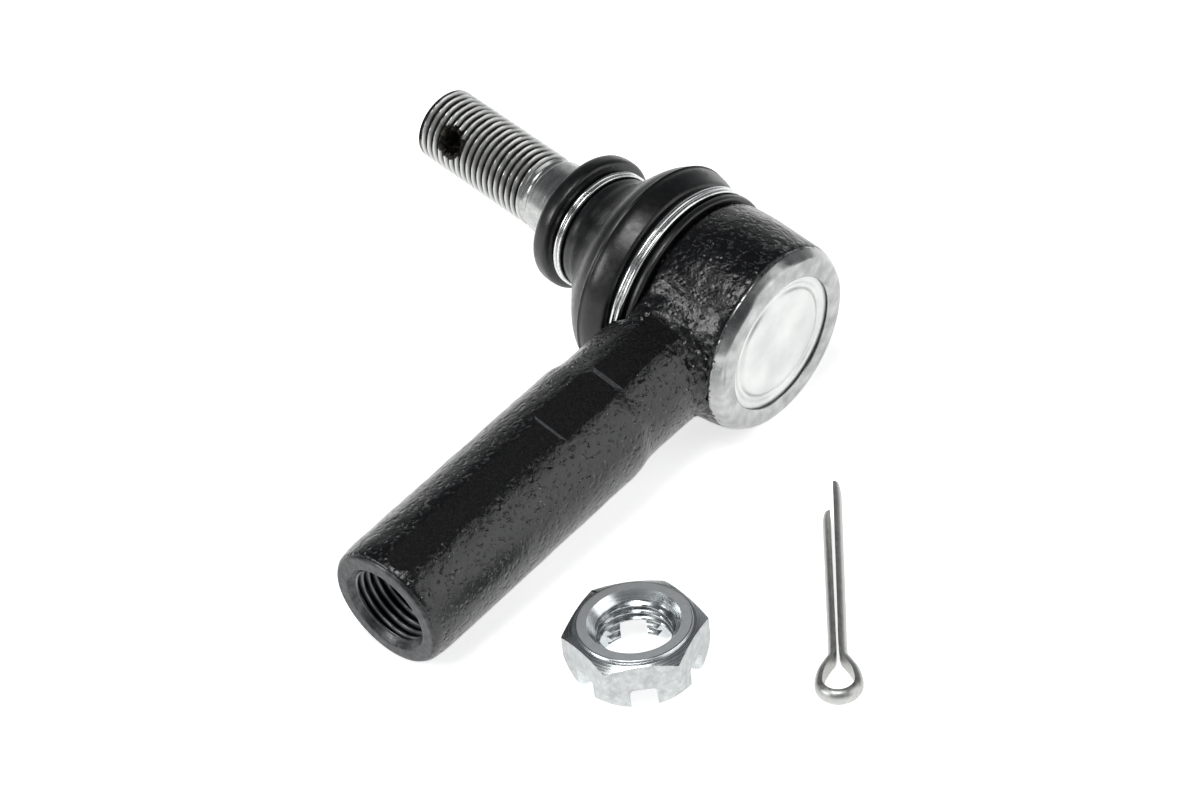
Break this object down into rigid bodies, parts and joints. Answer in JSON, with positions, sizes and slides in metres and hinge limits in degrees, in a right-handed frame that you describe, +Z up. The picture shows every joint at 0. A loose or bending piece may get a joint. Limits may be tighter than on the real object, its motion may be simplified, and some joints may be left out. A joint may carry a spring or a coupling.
{
  "type": "tie rod end",
  "caption": "Steering tie rod end: forged housing with internally threaded shank, ball stud in a rubber boot, castle nut and split pin lying beside it.",
  "frame": {"origin": "bottom centre of the box round all pieces as they lie on the table", "axes": "+Z up, +Y the way the ball stud points (lying down), -X the way the shank's open end points, closure plate towards -Y"},
  "size_m": [0.1076, 0.1414, 0.0403],
  "materials": {
    "black_paint": "semi-gloss black paint over rough forged steel",
    "zinc_plate": "satin pale zinc plating",
    "bare_steel": "machined bare steel",
    "bright_zinc": "bright zinc plating",
    "spring_steel": "bright drawn spring wire",
    "grey_zinc": "dull galvanised wire",
    "blued_steel": "blued spring steel",
    "black_rubber": "satin black moulded rubber",
    "white_acetal": "white acetal",
    "grey_acetal": "grey acetal"
  },
  "bodies": {
    "housing": {"housing": "black_paint", "closure_plate": "zinc_plate", "upper_seat": "white_acetal", "preload_spring": "blued_steel", "dust_boot": "black_rubber", "large_clip_ring": "spring_steel"},
    "swivel": {"pressure_cup": "grey_acetal"},
    "tilt": {"small_clip_ring": "spring_steel"},
    "stud": {"ball_stud": "bare_steel"},
    "nut": {"castle_nut": "bright_zinc"},
    "pin": {"split_pin": "grey_zinc"}
  },
  "joints": [
    {"name": "stud_swivel", "type": "hinge", "parent": "housing", "child": "swivel", "pos_m": [0.03348, -0.00162, 0.01878], "axis": [-0.0088, 0.9947, 0.1024], "continuous": true, "deforming": ["dust_boot"]},
    {"name": "stud_tilt", "type": "hinge", "parent": "swivel", "child": "tilt", "pos_m": [0.03348, -0.00162, 0.01878], "axis": [-0.1064, 0.1009, -0.9892], "range_deg": [-28.3, 15.7], "deforming": ["dust_boot"]},
    {"name": "stud_spin", "type": "hinge", "parent": "tilt", "child": "stud", "pos_m": [0.03348, -0.00162, 0.01878], "axis": [0.1003, 0.9908, 0.0903], "continuous": true},
    {"name": "nut_lift", "type": "slide", "parent": "housing", "child": "nut", "axis": [0, 0, 1], "range_m": [0, 0.04]},
    {"name": "pin_lift", "type": "slide", "parent": "housing", "child": "pin", "axis": [0, 0, 1], "range_m": [0, 0.03]}
  ]
}
